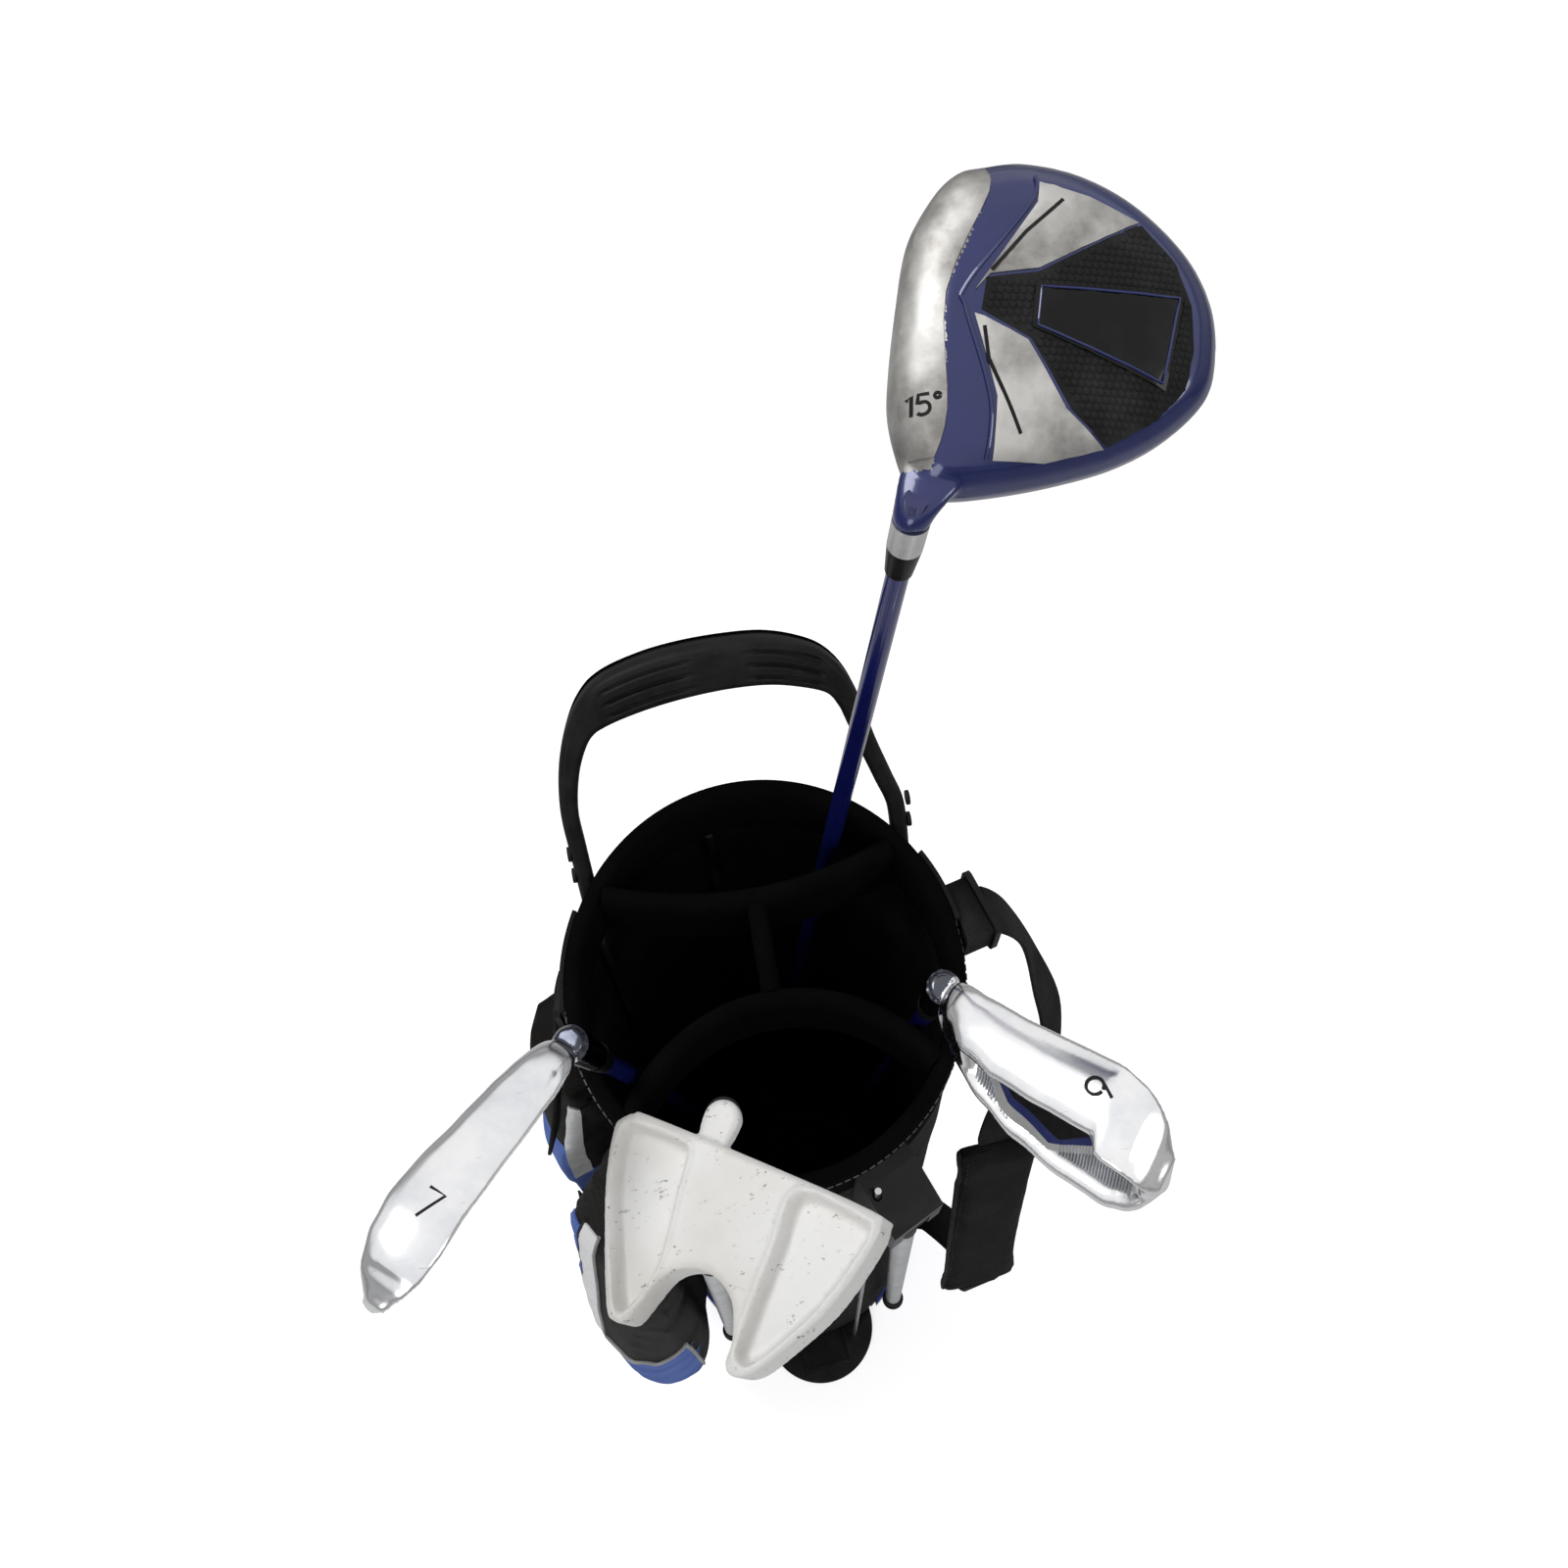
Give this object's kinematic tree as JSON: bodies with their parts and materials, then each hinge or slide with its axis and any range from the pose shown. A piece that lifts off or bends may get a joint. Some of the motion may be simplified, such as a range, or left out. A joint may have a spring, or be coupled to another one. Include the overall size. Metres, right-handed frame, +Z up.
{
  "type": "golf club set in a stand bag",
  "caption": "Junior golf club set in a slim stand bag with a tilting foot, folding legs, carry handle, shoulder strap and removable clubs.",
  "frame": {"origin": "centre of the base's underside, on the floor", "axes": "+Z up, -Y toward the stand legs and foot, +Y toward the carry handle, +X toward the shoulder strap"},
  "size_m": [0.3385, 0.3221, 0.9783],
  "materials": {
    "moulded_black": "satin moulded",
    "blue_plastic": "gloss",
    "steel": "bright",
    "foam": "closed-cell foam",
    "bag_fabric": "coated woven",
    "glass_fibre": "pultruded",
    "fleece": "brushed fleece",
    "pocket_black": "coated woven",
    "pocket_blue": "woven",
    "zip_tape": "tape and coil",
    "webbing": "ribbed webbing",
    "strap_fabric": "padded mesh",
    "leg_aluminium": "anodised",
    "rubber": "moulded",
    "gloss_black": "gloss",
    "shaft_blue": "gloss lacquer",
    "satin_silver": "satin",
    "driver_cast": "gloss lacquer and cast silver",
    "iron_chrome": "worn chrome",
    "putter_white": "satin paint, scuffed"
  },
  "bodies": {
    "bag": {"base_cup": "moulded_black", "base_band": "blue_plastic", "rocker_pin": "steel", "floor_pad": "foam", "body_shell": "bag_fabric", "stay_rods": "glass_fibre", "top_ring": "fleece", "divider_back": "fleece", "divider_front": "fleece", "divider_centre": "fleece", "handle": "moulded_black", "handle_rivets": "steel", "hinge_housing_left": "moulded_black", "hinge_housing_right": "moulded_black", "hinge_pins": "steel", "pocket_front": "pocket_black", "pocket_side": "pocket_blue", "zip_track": "zip_tape", "strap_ring_web": "webbing", "left_ring_web": "webbing", "strap_adjuster": "moulded_black", "strap_fold": "webbing", "strap_webbing": "webbing", "strap_pad": "strap_fabric", "strap_anchor": "webbing", "left_buckle": "moulded_black", "left_tail": "webbing"},
    "rocker": {"rocker_foot": "moulded_black"},
    "push_rods": {"push_rods": "steel"},
    "leg_left": {"leg_knuckle_left": "moulded_black", "leg_tube_left": "leg_aluminium", "leg_tip_left": "rubber"},
    "leg_right": {"leg_knuckle_right": "moulded_black", "leg_tube_right": "leg_aluminium", "leg_tip_right": "rubber"},
    "zip_pull": {"zip_pull": "steel"},
    "driver": {"driver_grip": "rubber", "driver_shaft": "shaft_blue", "driver_ferrule": "gloss_black", "driver_head": "driver_cast", "driver_hosel_ring": "satin_silver", "driver_badge": "gloss_black"},
    "iron_7": {"iron_7_grip": "rubber", "iron_7_shaft": "shaft_blue", "iron_7_ferrule": "gloss_black", "iron_7_head": "iron_chrome"},
    "iron_9": {"iron_9_grip": "rubber", "iron_9_shaft": "shaft_blue", "iron_9_ferrule": "gloss_black", "iron_9_head": "iron_chrome"},
    "putter": {"putter_grip": "rubber", "putter_shaft": "shaft_blue", "putter_ferrule": "gloss_black", "putter_head": "putter_white"}
  },
  "joints": [
    {"name": "foot_tilt", "type": "hinge", "parent": "bag", "child": "rocker", "pos_m": [0.00502, -0.07182, 0.008], "axis": [-0.9976, -0.0698, 0], "range_deg": [0, 25], "stiffness_Nm_per_rad": 1, "springref_deg": -11.46},
    {"name": "rods_lift", "type": "slide", "parent": "bag", "child": "push_rods", "axis": [0, 0, 1], "range_m": [0, 0.0116]},
    {"name": "leg_left_swing", "type": "hinge", "parent": "bag", "child": "leg_left", "pos_m": [-0.05691, -0.1006, 0.606], "axis": [-0.9063, 0.4226, 0], "range_deg": [0, 28.5]},
    {"name": "leg_right_swing", "type": "hinge", "parent": "bag", "child": "leg_right", "pos_m": [0.03691, -0.1006, 0.606], "axis": [-0.9063, -0.4226, 0], "range_deg": [0, 28.5]},
    {"name": "driver_draw", "type": "slide", "parent": "bag", "child": "driver", "axis": [0.0802, 0.0007, 0.9968], "range_m": [0, 0.72]},
    {"name": "iron_7_draw", "type": "slide", "parent": "bag", "child": "iron_7", "axis": [-0.1478, -0.0801, 0.9858], "range_m": [0, 0.72]},
    {"name": "iron_9_draw", "type": "slide", "parent": "bag", "child": "iron_9", "axis": [0.0287, -0.0912, 0.9954], "range_m": [0, 0.72]},
    {"name": "putter_draw", "type": "slide", "parent": "bag", "child": "putter", "axis": [0.0186, -0.1325, 0.991], "range_m": [0, 0.72]},
    {"name": "zip_slide", "type": "slide", "parent": "bag", "child": "zip_pull", "axis": [0, 0, 1], "range_m": [-0.1, 0.04]}
  ],
  "couplings": [
    {"joint": "leg_left_swing", "follows": "foot_tilt", "ratio": 1.12},
    {"joint": "leg_right_swing", "follows": "foot_tilt", "ratio": 1.12},
    {"joint": "rods_lift", "follows": "foot_tilt", "m_per_rad": 0.0262}
  ]
}
